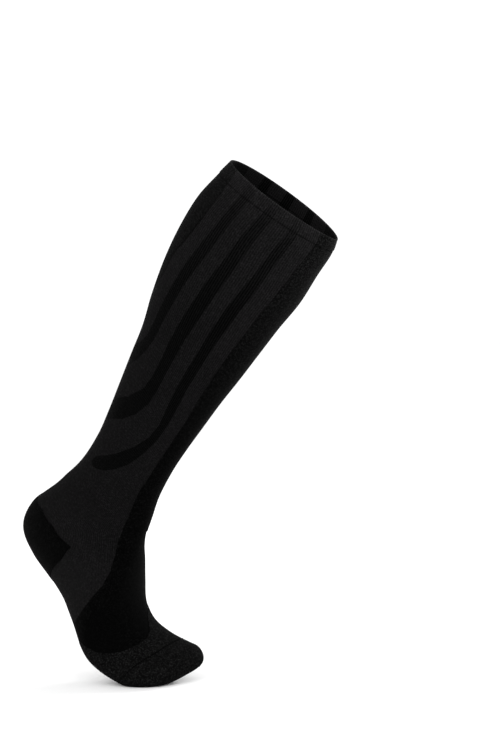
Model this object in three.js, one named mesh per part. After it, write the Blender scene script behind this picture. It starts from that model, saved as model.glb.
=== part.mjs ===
// A knee-high compression stocking, knitted as one closed tube and kept in the hollow, worn pose:
// the leg leans forward, the heel is raised and the toes rest. Its cloth is laid over sections of
// the hollow that the leg and foot take up. Millimetres, X forward to the toes, Y to the inner
// side of the leg, Z up. The origin is the middle of the top opening.
import * as THREE from "three";

// Wall thickness of each knitted piece
const WELT_WALL = 2.4;
const LEG_WALL = 1.8;
const FOOT_WALL = 1.8;
const HEEL_WALL = 2.2;
const TOE_WALL = 2.2;

// Knitting courses, measured along the middle line from the top opening
const WELT_END = 13.5;
const CALF_END = 181;
const LEG_END = 410;

// The toes rest here on the inner face of the sole, which lies flat over a soft rise
const REST_HEIGHT = -476.1;
const REST_SOFTNESS = 0.8;

// Fineness and fit
const SEAM_GAP = 0.3;
const SIDE_GAP = 0.5;
const COLUMNS = 48;
const COURSE_PITCH = 13;
const STEPS_A_SECTION = 24;
const PROBE = 0.5;

// Middles of the halves that the leg and the toe pocket part into
const FRONT = 0;
const BACK = 180;

const COLOURS = {
  welt: 0x1a191a,
  leg: 0x141314,
  heel: 0x090909,
  foot: 0x0c0c0c,
  toe: 0x0f0f10,
};

// Names each column of a table of sizes
function table(columns, rows) {
  return rows.map((row) => Object.fromEntries(columns.map((name, i) => [name, row[i]])));
}

// Sections of the hollow, down the stocking. x and z place the middle of a section, lean tips its
// plane forward and down, depth runs front to back, width runs side to side, roll turns the section
// about the middle line towards the inner side, skew carries the inner side ahead, and front and
// back are the squareness of each half, where 2 is an ellipse.
const SECTIONS = table(
  ["name", "x", "z", "lean", "depth", "width", "roll", "skew", "front", "back"],
  [
    ["rim", 0, 0, 37.5, 126, 101, 0, 0, 1.75, 2],
    ["welt", -11.3, -14.7, 35.5, 132.5, 110, 0, 0, 2, 2.1],
    ["upper_calf", -28.3, -34.2, 34.5, 136.5, 116, 0, 0, 2.1, 2.1],
    ["full_calf", -46.8, -61.7, 33.5, 136.5, 116, 0, 0, 2.1, 2.1],
    ["mid_calf", -65.8, -89.2, 33, 129, 108, 0, 0, 2.1, 2.1],
    ["lower_calf", -83.3, -118.7, 32, 119, 100, 0, 0, 2.1, 2.1],
    ["calf_foot", -98.3, -146.2, 31, 108, 90, 0, 0, 2.1, 2.1],
    ["upper_shank", -115.3, -173.2, 30, 99.5, 82, 0, 0, 2.1, 2.1],
    ["mid_shank", -131.8, -200.7, 29, 92, 74.5, 0, 0, 2.1, 2.1],
    ["lower_shank", -146.8, -225.7, 28, 85.5, 67.5, 0, 0, 2.1, 2.1],
    ["slim_ankle", -160.8, -249.2, 26, 82, 63, 0, 0, 2.1, 2.1],
    ["ankle", -178.3, -275.7, 23, 87, 63, 0, 0, 2.1, 2],
    ["ankle_bones", -196.3, -297.7, 16, 106, 65, 0, 0, 2.1, 2],
    ["heel_top", -211.8, -313.2, 9, 127.5, 66.5, 1, 0, 2.1, 2],
    ["heel", -217.8, -327.2, -1, 137, 66.5, 2, 0, 2.1, 2],
    ["heel_base", -213.3, -343.2, -11, 127, 65, 5, 0, 2.1, 2.1],
    ["rear_arch", -203.8, -360.7, -20, 109, 68, 9, 0, 2.1, 2.2],
    ["arch", -195.8, -377.2, -27, 93, 76, 13, 0, 2.1, 2.3],
    ["instep", -189.8, -399.2, -34, 74.5, 82, 18, 0, 2.1, 2.4],
    ["ball", -185.3, -421.2, -42, 52, 83, 24, 0.08, 2.1, 2.4],
    ["toe_root", -175.8, -438.2, -50, 37, 83, 28, 0.18, 2.1, 2.4],
    ["toe_box", -159.3, -450.2, -54, 30, 83, 31, 0.27, 2.1, 2.4],
    ["toe_front", -140.8, -458.5, -56, 27.5, 82, 34, 0.3, 2.1, 2.4],
    ["toe_round", -130.3, -462.5, -57, 25.5, 80, 36, 0.3, 2.1, 2.4],
    ["toe_curve", -122, -466.1, -57, 21.5, 72, 36, 0.3, 2.1, 2.3],
    ["toe_edge", -116.4, -468.7, -57, 15.5, 61, 36, 0.3, 2, 2.2],
    ["toe_lip", -113.6, -470.1, -57, 9, 49, 36, 0.3, 2, 2],
    ["toe_end", -112.6, -470.7, -57, 2.5, 36, 36, 0.3, 2, 2],
  ],
);

// Heel pocket gores, alike on both sides: angle from the shin, upper and lower course
const HEEL_GORES = table(
  ["angle", "upper", "lower"],
  [
    [90, 409.4, 410.6],
    [97.5, 400, 415.5],
    [105, 391, 420.5],
    [127.5, 380, 427],
    [150, 376, 434],
    [180, 371, 442],
  ],
);

// Edge of the toe pocket: angle from the shin, positive on the outer side, and course
const TOE_EDGE = table(
  ["angle", "course"],
  [
    [-180, 491],
    [-90, 493],
    [-66, 498],
    [-45, 508],
    [-34, 520],
    [-24, 528],
    [-10, 534],
    [8, 536],
    [28, 535],
    [42, 531],
    [55, 524],
    [75, 511],
    [102, 497],
    [180, 491],
  ],
);

const NUMBERS = ["x", "z", "lean", "depth", "width", "roll", "skew", "front", "back"];

// A smooth curve through a column of the sections
function smooth(name, place) {
  const last = SECTIONS.length - 1;
  const i = Math.min(Math.floor(place), last - 1);
  const f = place - i;
  const b = SECTIONS[i][name];
  const c = SECTIONS[i + 1][name];
  const a = i > 0 ? SECTIONS[i - 1][name] : 2 * b - c;
  const d = i < last - 1 ? SECTIONS[i + 2][name] : 2 * c - b;
  const linear = c - a;
  const square = 2 * a - 5 * b + 4 * c - d;
  const cube = 3 * b - a - 3 * c + d;
  return 0.5 * (2 * b + linear * f + square * f * f + cube * f * f * f);
}

// Linear reading of a table
function read(rows, key, value, at) {
  const next = rows.findIndex((row) => row[key] >= at);
  if (next === 0) return rows[0][value];
  if (next < 0) return rows[rows.length - 1][value];
  const from = rows[next - 1];
  const to = rows[next];
  return from[value] + ((to[value] - from[value]) * (at - from[key])) / (to[key] - from[key]);
}

// Place among the sections for each course down the middle line
function measureCourses() {
  const marks = [{ place: 0, course: 0 }];
  const steps = (SECTIONS.length - 1) * STEPS_A_SECTION;
  for (let k = 1; k <= steps; k++) {
    const place = k / STEPS_A_SECTION;
    const before = marks[k - 1];
    const dx = smooth("x", place) - smooth("x", before.place);
    const dz = smooth("z", place) - smooth("z", before.place);
    marks.push({ place, course: before.course + Math.hypot(dx, dz) });
  }
  return marks;
}

const COURSES = measureCourses();
const LAST_COURSE = COURSES[COURSES.length - 1].course;

// The middle, axes and sizes of the section at a course
function sectionAt(course) {
  const place = read(COURSES, "course", "place", course);
  const size = Object.fromEntries(NUMBERS.map((name) => [name, smooth(name, place)]));
  const lean = THREE.MathUtils.degToRad(size.lean);
  const roll = THREE.MathUtils.degToRad(size.roll);
  const ahead = new THREE.Vector3(Math.cos(lean), 0, -Math.sin(lean));
  const across = new THREE.Vector3(0, 1, 0);
  size.onward = new THREE.Vector3(-Math.sin(lean), 0, -Math.cos(lean));
  size.middle = new THREE.Vector3(size.x, 0, size.z);
  size.front_axis = ahead.clone().multiplyScalar(Math.cos(roll));
  size.front_axis.addScaledVector(across, -Math.sin(roll));
  size.inner_axis = across.clone().multiplyScalar(Math.cos(roll));
  size.inner_axis.addScaledVector(ahead, Math.sin(roll));
  return size;
}

// The height at which the sole rests, where a point would lie lower
function rest(height) {
  const above = (height - REST_HEIGHT) / REST_SOFTNESS;
  return above > 20 ? height : REST_HEIGHT + REST_SOFTNESS * Math.log1p(Math.exp(above));
}

// A point of the inner face: angle 0 is the shin, 90 the outer side, 180 the calf
function innerPoint(course, angle) {
  const size = sectionAt(course);
  const turn = THREE.MathUtils.degToRad(angle);
  const c = Math.cos(turn);
  const s = Math.sin(turn);
  const power = c > 0 ? size.front : size.back;
  const reach = (Math.abs(c) ** power + Math.abs(s) ** power) ** (-1 / power);
  const along = (reach * c * size.depth) / 2;
  const inward = (-reach * s * size.width) / 2;
  const point = size.middle
    .clone()
    .addScaledVector(size.front_axis, along)
    .addScaledVector(size.inner_axis, inward)
    .addScaledVector(size.onward, size.skew * inward);
  return point.setZ(rest(point.z));
}

// The direction out of the cloth
function outward(course, angle) {
  const low = Math.max(course - PROBE, 0);
  const high = Math.min(course + PROBE, LAST_COURSE);
  const down = innerPoint(high, angle).sub(innerPoint(low, angle));
  const round = innerPoint(course, angle + PROBE).sub(innerPoint(course, angle - PROBE));
  return round.cross(down).normalize();
}

// The course that lies a given distance of cloth further on, at an angle
function stepAlong(course, angle, distance) {
  const from = innerPoint(Math.max(course - PROBE, 0), angle);
  const to = innerPoint(Math.min(course + PROBE, LAST_COURSE), angle);
  const run = Math.min(course + PROBE, LAST_COURSE) - Math.max(course - PROBE, 0);
  return course + (distance * run) / from.distanceTo(to);
}

// A grid of points over a piece, at a height over the inner face: one column for each angle, rows
// between two edges. turn may move a point round the stocking.
function grid(angles, rows, first, last, height, turn) {
  return angles.map((angle) => {
    const start = first(turn(first(angle), angle));
    const end = last(turn(last(angle), angle));
    return Array.from({ length: rows + 1 }, (_, k) => {
      const course = start + ((end - start) * k) / rows;
      const turned = turn(course, angle);
      const point = innerPoint(course, turned);
      return height > 0 ? point.addScaledVector(outward(course, turned), height) : point;
    });
  });
}

// Collects triangles and makes a mesh of them
class Shell {
  constructor() {
    this.corners = [];
  }

  face(...points) {
    for (let k = 2; k < points.length; k++) {
      this.corners.push(points[0], points[k - 1], points[k]);
    }
  }

  // A sheet of quads between neighbouring columns
  sheet(columns, closed, turned) {
    const count = closed ? columns.length : columns.length - 1;
    for (let j = 0; j < count; j++) {
      const a = columns[j];
      const b = columns[(j + 1) % columns.length];
      for (let k = 1; k < a.length; k++) {
        const quad = [a[k - 1], a[k], b[k], b[k - 1]];
        this.face(...(turned ? quad.reverse() : quad));
      }
    }
  }

  // A band between two edges with the same number of points
  band(edge, other, closed) {
    const count = closed ? edge.length : edge.length - 1;
    for (let j = 0; j < count; j++) {
      const next = (j + 1) % edge.length;
      this.face(edge[j], edge[next], other[next], other[j]);
    }
  }

  // Closes an edge with a fan about its middle
  cap(edge, turned) {
    const middle = new THREE.Vector3();
    edge.forEach((point) => middle.addScaledVector(point, 1 / edge.length));
    edge.forEach((point, j) => {
      const next = edge[(j + 1) % edge.length];
      this.face(...(turned ? [next, point, middle] : [point, next, middle]));
    });
  }

  mesh(name, colour, roughness) {
    const geometry = new THREE.BufferGeometry().setFromPoints(this.corners);
    geometry.computeVertexNormals();
    const material = new THREE.MeshStandardMaterial({ color: colour, roughness, metalness: 0 });
    const mesh = new THREE.Mesh(geometry, material);
    mesh.name = name;
    return mesh;
  }
}

const first = (column) => column[0];
const last = (column) => column[column.length - 1];

const ROUND = Array.from({ length: COLUMNS }, (_, j) => -180 + (360 * j) / COLUMNS);

const unturned = (course, angle) => angle;

// A tube of cloth between two edges that are given by angle
function tube(start, end, wall, rows) {
  const shell = new Shell();
  const inner = grid(ROUND, rows, start, end, 0, unturned);
  const outer = grid(ROUND, rows, start, end, wall, unturned);
  shell.sheet(inner, true, false);
  shell.sheet(outer, true, true);
  shell.band(inner.map(first), outer.map(first), true);
  shell.band(outer.map(last), inner.map(last), true);
  return shell;
}

// A strip of cloth over some angles, between two edges that are given by angle
function strip(angles, start, end, wall, rows, turn) {
  const shell = new Shell();
  const inner = grid(angles, rows, start, end, 0, turn);
  const outer = grid(angles, rows, start, end, wall, turn);
  shell.sheet(inner, false, false);
  shell.sheet(outer, false, true);
  shell.band(inner.map(first), outer.map(first), false);
  shell.band(outer.map(last), inner.map(last), false);
  shell.band(first(outer), first(inner), false);
  shell.band(last(inner), last(outer), false);
  return shell;
}

// Angles over a half of the stocking about a middle
function halfRound(middle) {
  const count = COLUMNS / 2;
  return Array.from({ length: count + 1 }, (_, j) => middle - 90 + (180 * j) / count);
}

// Keeps a half back from its side lines, which lie a quarter turn from its middle
function keepBack(middle) {
  return (course, angle) => {
    const side = Math.round((angle - middle) / 90);
    if (angle !== middle + side * 90 || side === 0) return angle;
    const run = innerPoint(course, angle + PROBE).distanceTo(innerPoint(course, angle - PROBE));
    return angle - (side * SIDE_GAP * PROBE) / run;
  };
}

// A half of a tube of cloth about a middle
function halfTube(middle, start, end, wall, rows) {
  return strip(halfRound(middle), wrap(start), wrap(end), wall, rows, keepBack(middle));
}

const heelUpper = (angle) => read(HEEL_GORES, "angle", "upper", Math.abs(angle));
const heelLower = (angle) => read(HEEL_GORES, "angle", "lower", Math.abs(angle));
const toeEdge = (angle) => read(TOE_EDGE, "angle", "course", angle);
const legEdge = (angle) => (Math.abs(angle) < HEEL_GORES[0].angle ? LEG_END : heelUpper(angle));
const footEdge = (angle) => (Math.abs(angle) < HEEL_GORES[0].angle ? LEG_END : heelLower(angle));

// How much longer a gap is along the column than square to the steeper side of a slanting edge
function slant(edge, angle) {
  const pitch = ROUND[1] - ROUND[0];
  const course = edge(angle);
  const slopes = [-pitch, pitch].map((step) => {
    const run = innerPoint(course, angle).distanceTo(innerPoint(course, angle + step));
    return Math.abs(edge(angle + step) - course) / run;
  });
  return Math.hypot(1, Math.max(...slopes));
}

// The edge of the piece before or after a seam line
function seamSide(edge, side) {
  return (angle) => {
    const distance = (side * SEAM_GAP * slant(edge, angle)) / 2;
    return stepAlong(edge(angle), angle, distance);
  };
}

const before = (edge) => seamSide(edge, -1);
const after = (edge) => seamSide(edge, 1);
const wrap = (edge) => (angle) => edge(angle > 180 ? angle - 360 : angle);
const rowsOver = (length) => Math.max(1, Math.round(length / COURSE_PITCH));

// The turned double top
function buildWelt() {
  const shell = tube(() => 0, before(() => WELT_END), WELT_WALL, 2);
  return shell.mesh("welt", COLOURS.welt, 0.9);
}

// Half of the calf, from the welt to below the muscle
function buildCalf(name, middle) {
  const rows = rowsOver(CALF_END - WELT_END);
  const shell = halfTube(middle, after(() => WELT_END), before(() => CALF_END), LEG_WALL, rows);
  return shell.mesh(name, COLOURS.leg, 0.9);
}

// Half of the shank, from the calf to the ankle and the upper gore of the heel
function buildShank(name, middle) {
  const rows = rowsOver(LEG_END - CALF_END);
  const shell = halfTube(middle, after(() => CALF_END), before(legEdge), LEG_WALL, rows);
  return shell.mesh(name, COLOURS.leg, 0.9);
}

// The foot, from the ankle and the lower gore of the heel to the toe pocket
function buildFoot() {
  const shell = tube(after(footEdge), before(toeEdge), FOOT_WALL, 11);
  return shell.mesh("foot", COLOURS.foot, 0.9);
}

// The heel pocket between its two gores
function buildHeel() {
  const angles = ROUND.map((angle) => angle + 180).filter(
    (angle) => angle >= HEEL_GORES[0].angle && angle <= 360 - HEEL_GORES[0].angle,
  );
  const upper = wrap(after(heelUpper));
  const lower = wrap(before(heelLower));
  const shell = strip(angles, upper, lower, HEEL_WALL, 6, keepBack(BACK));
  return shell.mesh("heel_pocket", COLOURS.heel, 0.9);
}

// Half of the toe pocket, closed at its end
function buildToe(name, middle) {
  const angles = halfRound(middle);
  const edge = wrap(after(toeEdge));
  const end = () => LAST_COURSE;
  const shell = new Shell();
  const inner = grid(angles, 11, edge, end, 0, keepBack(middle));
  const outer = grid(angles, 11, edge, end, TOE_WALL, keepBack(middle));
  shell.sheet(inner, false, false);
  shell.sheet(outer, false, true);
  shell.band(inner.map(first), outer.map(first), false);
  shell.band(first(outer), first(inner), false);
  shell.band(last(inner), last(outer), false);
  shell.cap(inner.map(last), true);
  shell.cap(outer.map(last), false);
  shell.face(last(first(inner)), last(first(outer)), last(last(outer)), last(last(inner)));
  return shell.mesh(name, COLOURS.toe, 0.9);
}

const stocking = new THREE.Group();
stocking.name = "compression_stocking";
stocking.add(buildWelt(), buildHeel(), buildFoot());
stocking.add(buildCalf("calf_front", FRONT), buildCalf("calf_back", BACK));
stocking.add(buildShank("shank_front", FRONT), buildShank("shank_back", BACK));
stocking.add(buildToe("toe_top", FRONT), buildToe("toe_sole", BACK));

export default stocking;
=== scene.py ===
"""Looks of a knee-high compression stocking in its hollow, worn pose.

The leg leans forward, the heel is raised and the toes rest on a pale floor. The cloth is laid
over sections of the hollow that the leg and foot take up. Metres, with X forward to the toes, Y
to the inner side of the leg and Z up. The origin is the middle of the top opening. Courses are
distances down the middle line, in millimetres, and angles run round the stocking in degrees: 0
is the shin, 90 the outer side and 180 the calf.
"""

import logging
import math
from dataclasses import dataclass, field
from enum import Enum
from typing import Any, Callable, Optional, Sequence

import bpy
import numpy as np
from mathutils import Matrix, Vector


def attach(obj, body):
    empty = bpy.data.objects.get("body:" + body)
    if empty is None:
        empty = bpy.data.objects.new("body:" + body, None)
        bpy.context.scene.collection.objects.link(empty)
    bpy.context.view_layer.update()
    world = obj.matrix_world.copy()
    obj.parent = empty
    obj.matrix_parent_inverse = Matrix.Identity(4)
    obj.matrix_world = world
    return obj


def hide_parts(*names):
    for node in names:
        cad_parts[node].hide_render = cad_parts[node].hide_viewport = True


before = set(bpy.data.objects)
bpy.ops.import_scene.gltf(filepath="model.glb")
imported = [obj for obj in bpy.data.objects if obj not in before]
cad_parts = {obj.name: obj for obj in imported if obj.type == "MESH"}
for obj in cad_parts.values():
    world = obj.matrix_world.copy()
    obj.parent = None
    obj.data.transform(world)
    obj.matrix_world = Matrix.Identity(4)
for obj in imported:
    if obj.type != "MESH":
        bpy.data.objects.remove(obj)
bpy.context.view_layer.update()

LOG = logging.getLogger("stocking")
MM = 0.001
UV_NAME = "knit"
ROOT = "root"

Array = np.ndarray
Edge = Callable[[Array], Array]
Point = tuple[float, float]
Span = tuple[float, float]

Faces = list[tuple[int, ...]]

# Where a run begins and ends, and its values there
Run = tuple[float, float, float, float]

# Courses, angles and depths below the outer face
Loop = tuple[Array, Array, Array]


class Mark(Enum):
    """Names of the attributes that the knitted finishes read."""

    BANDS = "bands"
    SHIN_PANEL = "shin_panel"
    CALF_PANEL = "calf_panel"
    SEAM = "seam"
    INNER_FACE = "inner_face"


@dataclass(frozen=True)
class Section:
    """A section of the hollow in the leg or foot, in millimetres and degrees."""

    name: str
    x: float
    z: float
    lean: float
    depth: float
    width: float
    roll: float
    skew: float
    front: float
    back: float


SECTIONS: tuple[Section, ...] = (
    Section("rim", 0, 0, 37.5, 126, 101, 0, 0, 1.75, 2),
    Section("welt", -11.3, -14.7, 35.5, 132.5, 110, 0, 0, 2, 2.1),
    Section("upper_calf", -28.3, -34.2, 34.5, 136.5, 116, 0, 0, 2.1, 2.1),
    Section("full_calf", -46.8, -61.7, 33.5, 136.5, 116, 0, 0, 2.1, 2.1),
    Section("mid_calf", -65.8, -89.2, 33, 129, 108, 0, 0, 2.1, 2.1),
    Section("lower_calf", -83.3, -118.7, 32, 119, 100, 0, 0, 2.1, 2.1),
    Section("calf_foot", -98.3, -146.2, 31, 108, 90, 0, 0, 2.1, 2.1),
    Section("upper_shank", -115.3, -173.2, 30, 99.5, 82, 0, 0, 2.1, 2.1),
    Section("mid_shank", -131.8, -200.7, 29, 92, 74.5, 0, 0, 2.1, 2.1),
    Section("lower_shank", -146.8, -225.7, 28, 85.5, 67.5, 0, 0, 2.1, 2.1),
    Section("slim_ankle", -160.8, -249.2, 26, 82, 63, 0, 0, 2.1, 2.1),
    Section("ankle", -178.3, -275.7, 23, 87, 63, 0, 0, 2.1, 2),
    Section("ankle_bones", -196.3, -297.7, 16, 106, 65, 0, 0, 2.1, 2),
    Section("heel_top", -211.8, -313.2, 9, 127.5, 66.5, 1, 0, 2.1, 2),
    Section("heel", -217.8, -327.2, -1, 137, 66.5, 2, 0, 2.1, 2),
    Section("heel_base", -213.3, -343.2, -11, 127, 65, 5, 0, 2.1, 2.1),
    Section("rear_arch", -203.8, -360.7, -20, 109, 68, 9, 0, 2.1, 2.2),
    Section("arch", -195.8, -377.2, -27, 93, 76, 13, 0, 2.1, 2.3),
    Section("instep", -189.8, -399.2, -34, 74.5, 82, 18, 0, 2.1, 2.4),
    Section("ball", -185.3, -421.2, -42, 52, 83, 24, 0.08, 2.1, 2.4),
    Section("toe_root", -175.8, -438.2, -50, 37, 83, 28, 0.18, 2.1, 2.4),
    Section("toe_box", -159.3, -450.2, -54, 30, 83, 31, 0.27, 2.1, 2.4),
    Section("toe_front", -140.8, -458.5, -56, 27.5, 82, 34, 0.3, 2.1, 2.4),
    Section("toe_round", -130.3, -462.5, -57, 25.5, 80, 36, 0.3, 2.1, 2.4),
    Section("toe_curve", -122, -466.1, -57, 21.5, 72, 36, 0.3, 2.1, 2.3),
    Section("toe_edge", -116.4, -468.7, -57, 15.5, 61, 36, 0.3, 2, 2.2),
    Section("toe_lip", -113.6, -470.1, -57, 9, 49, 36, 0.3, 2, 2),
    Section("toe_end", -112.6, -470.7, -57, 2.5, 36, 36, 0.3, 2, 2),
)

# Courses where one piece ends and the next begins
WELT_END = 13.5
LEG_END = 410.0

# Course of the stitches under the welt, and height of the welt's rolled rim
WELT_ROW = WELT_END - 0.4
RIM_ROLL = 1.0

# Gores of the heel pocket, alike on both sides: angle, upper course, lower course
HEEL_GORES: tuple[tuple[float, float, float], ...] = (
    (90, 409.4, 410.6),
    (97.5, 400, 415.5),
    (105, 391, 420.5),
    (127.5, 380, 427),
    (150, 376, 434),
    (180, 371, 442),
)

# Edge of the toe pocket: angle, positive on the outer side, and course
TOE_EDGE: tuple[Point, ...] = (
    (-180, 491),
    (-90, 493),
    (-66, 498),
    (-45, 508),
    (-34, 520),
    (-24, 528),
    (-10, 534),
    (8, 536),
    (28, 535),
    (42, 531),
    (55, 524),
    (75, 511),
    (102, 497),
    (180, 491),
)

# Zones of the knit, alike on both sides, as outlines of (course, angle) points
BAND_OUTLINES: tuple[tuple[Point, ...], ...] = (
    (
        (-9, 98), (12, 98), (35, 97), (50, 97), (65, 98), (80, 100), (100, 103), (120, 106),
        (140, 108.5), (160, 112), (180, 116), (192, 120), (204, 127), (213, 138), (221, 153),
        (226, 172), (227, 186), (204, 186), (203, 172), (199, 156), (190, 138), (180, 129),
        (160, 123.5), (140, 120), (120, 117), (100, 114), (80, 111), (65, 108.5), (50, 106),
        (35, 106), (14, 107), (-9, 108),
    ),
    (
        (-9, 73), (13, 73), (50, 73), (65, 74), (80, 75), (100, 76), (120, 77.5), (140, 79.5),
        (160, 82.5), (180, 84.5), (200, 84.5), (219, 84.5), (235, 87), (251, 96), (264, 112),
        (273, 136), (278, 160), (280, 186), (258, 186), (256, 160), (250, 137), (240, 116),
        (224, 101), (208, 97), (194, 97), (170, 97), (147, 94), (120, 90.5), (86, 87),
        (65, 84.5), (50, 83.5), (14, 82.5), (-9, 82),
    ),
    (
        (-9, 48), (13, 48), (50, 49), (68, 50.5), (93, 51.5), (120, 53), (140, 54.5),
        (160, 56), (180, 57), (199, 56.5), (222, 55), (243, 54), (265, 56), (285, 64),
        (301, 74), (312, 87), (318, 98), (321, 108), (321.5, 117), (320.5, 123),
        (317, 127.5), (312.5, 125), (309, 120), (305, 110), (298, 98), (282, 79), (265, 67),
        (248, 63.5), (224, 66), (203, 67), (181, 67.5), (160, 66), (134, 64.5), (99, 62.5),
        (74, 60), (50, 57.5), (14, 56.5), (-9, 56),
    ),
)
SHIN_OUTLINE: tuple[Point, ...] = (
    (-9, 26), (2, 26), (19, 28), (35, 29), (50, 30.5), (65, 32.5), (80, 34), (100, 35),
    (120, 35.5), (140, 37), (160, 38.5), (180, 39), (200, 38), (234, 36), (271, 37),
    (305, 39), (326, 42), (352, 41), (397, 38), (434, 41), (450, 44), (460, 53), (468, 74),
    (474, 96), (477, 116), (480, 140), (481, 186), (600, 186), (600, -6), (-9, -6),
)
CALF_OUTLINE: tuple[Point, ...] = (
    (-9, 130), (2, 129), (11, 126), (20, 124), (35, 122), (50, 121.5), (65, 124), (80, 127),
    (93, 132.5), (105, 135), (115, 135.5), (124, 138.5), (133, 146), (140, 158), (144, 171),
    (145, 186), (-9, 186),
)

# How far the knit of the inner side is turned at the top, and the course where that ends
TOP_TURN = 26.0
TURN_END = 190.0

# Millimetres of cloth that a degree of turn takes: on the leg, at the heel, over the toes
LEG_DEGREE = 0.95
HEEL_DEGREE = 0.9
TOE_DEGREE = 0.55

# Distance to a seam, in millimetres, given where a piece has none
NO_SEAM = 50.0

# Line of the linked toe seam: angle and course
TOE_SEAM: tuple[Point, ...] = (
    (-104, 548.5), (-80, 548), (-60, 549), (-44, 550.6), (-21, 552.6), (-1, 555), (16, 556),
    (33, 556.5), (51, 558), (70, 559), (92, 558.5), (108, 557.5),
)


class Form:
    """The inner face of the stocking, swept smoothly through its sections."""

    REST_HEIGHT = -476.1
    REST_SOFTNESS = 0.8
    STEPS_A_SECTION = 24
    PROBE = 0.5
    TABLE_STEP = 2.0
    ROUND_STEPS = 360

    def __init__(self, sections: Sequence[Section]) -> None:
        """Measures the courses and the cloth.

        Args:
            sections: The sections in order, from the rim to the toe.
        """
        names = [n for n in Section.__dataclass_fields__ if n != "name"]
        self.columns = {n: np.array([getattr(s, n) for s in sections], float) for n in names}
        count = (len(sections) - 1) * self.STEPS_A_SECTION
        self.places = np.linspace(0, len(sections) - 1, count + 1)
        x, z = self.smooth("x", self.places), self.smooth("z", self.places)
        self.courses = np.concatenate([[0.0], np.cumsum(np.hypot(np.diff(x), np.diff(z)))])
        self.last = float(self.courses[-1])
        self.measure_cloth()

    def smooth(self, name: str, place: Array) -> Array:
        """Reads a column of the sections on a smooth curve.

        Args:
            name: The column.
            place: Places among the sections, counted from 0.

        Returns:
            The column's values at those places.
        """
        values = self.columns[name]
        last = len(values) - 1
        padded = np.concatenate(
            [[2 * values[0] - values[1]], values, [2 * values[last] - values[last - 1]]]
        )
        i = np.minimum(np.floor(place).astype(int), last - 1)
        f = place - i
        a, b, c, d = (padded[i + k] for k in range(4))
        linear = c - a
        square = 2 * a - 5 * b + 4 * c - d
        cube = 3 * b - a - 3 * c + d
        return 0.5 * (2 * b + linear * f + square * f**2 + cube * f**3)

    def rest(self, point: Array) -> Array:
        """Lifts points to the height at which the sole rests, where they lie lower.

        Args:
            point: Points, in millimetres.

        Returns:
            The points, the lower ones flat over a soft rise.
        """
        above = (point[..., 2] - self.REST_HEIGHT) / self.REST_SOFTNESS
        height = self.REST_HEIGHT + self.REST_SOFTNESS * np.logaddexp(0, above)
        return np.concatenate([point[..., :2], height[..., None]], -1)

    def point(self, course: Array, angle: Array) -> Array:
        """Points of the inner face.

        Args:
            course: Courses, in millimetres.
            angle: Angles, in degrees, of the same shape.

        Returns:
            Points in millimetres, with a last axis of three.
        """
        place = np.interp(course, self.courses, self.places)
        size = {name: self.smooth(name, place) for name in self.columns}
        lean, roll, turn = (np.radians(v) for v in (size["lean"], size["roll"], angle))
        nought = np.zeros_like(lean)
        ahead = np.stack([np.cos(lean), nought, -np.sin(lean)], -1)
        onward = np.stack([-np.sin(lean), nought, -np.cos(lean)], -1)
        across = np.array([0.0, 1.0, 0.0])
        cos_roll, sin_roll = np.cos(roll)[..., None], np.sin(roll)[..., None]
        front_axis = ahead * cos_roll - across * sin_roll
        inner_axis = across * cos_roll + ahead * sin_roll
        c, s = np.cos(turn), np.sin(turn)
        power = np.where(c > 0, size["front"], size["back"])
        reach = (np.abs(c) ** power + np.abs(s) ** power) ** (-1 / power)
        along = reach * c * size["depth"] / 2
        inward = -reach * s * size["width"] / 2
        middle = np.stack([size["x"], nought, size["z"]], -1)
        return self.rest(
            middle
            + front_axis * along[..., None]
            + inner_axis * inward[..., None]
            + onward * (size["skew"] * inward)[..., None]
        )

    def outward(self, course: Array, angle: Array) -> Array:
        """Directions out of the cloth.

        Args:
            course: Courses, in millimetres.
            angle: Angles, in degrees.

        Returns:
            Unit directions.
        """
        low = np.maximum(course - self.PROBE, 0)
        high = np.minimum(course + self.PROBE, self.last)
        down = self.point(high, angle) - self.point(low, angle)
        round_ = self.point(course, angle + self.PROBE) - self.point(course, angle - self.PROBE)
        normal = np.cross(round_, down)
        return normal / np.linalg.norm(normal, axis=-1, keepdims=True)

    def measure_cloth(self) -> None:
        """Tabulates the way round and the way down the cloth."""
        self.table_courses = np.arange(0, self.last + self.TABLE_STEP, self.TABLE_STEP)
        self.table_courses[-1] = self.last
        self.table_angles = np.linspace(-180, 180, self.ROUND_STEPS + 1)
        course, angle = np.meshgrid(self.table_courses, self.table_angles, indexing="ij")
        points = self.point(course, angle)
        round_ = np.linalg.norm(np.diff(points, axis=1), axis=-1)
        down = np.linalg.norm(np.diff(points, axis=0), axis=-1)
        self.table_round = np.pad(np.cumsum(round_, axis=1), ((0, 0), (1, 0)))
        self.table_down = np.pad(np.cumsum(down, axis=0), ((1, 0), (0, 0)))

    def read(self, table: Array, course: Array, angle: Array) -> Array:
        """Reads a table of the cloth between its rows and columns.

        Args:
            table: A table over table_courses and table_angles.
            course: Courses, in millimetres.
            angle: Angles, in degrees, from -180 to 180.

        Returns:
            The values there.
        """
        row = np.interp(course, self.table_courses, np.arange(len(self.table_courses)))
        column = np.interp(angle, self.table_angles, np.arange(len(self.table_angles)))
        i = np.minimum(row.astype(int), len(self.table_courses) - 2)
        j = np.minimum(column.astype(int), len(self.table_angles) - 2)
        f, g = row - i, column - j
        upper = table[i, j] * (1 - g) + table[i, j + 1] * g
        lower = table[i + 1, j] * (1 - g) + table[i + 1, j + 1] * g
        return upper * (1 - f) + lower * f

    def share_round(self, course: Array, angle: Array) -> Array:
        """How far round the girth an angle lies, from 0 to 1."""
        girth = self.read(self.table_round, course, np.full_like(angle, 180.0))
        return self.read(self.table_round, course, angle) / girth


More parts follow.
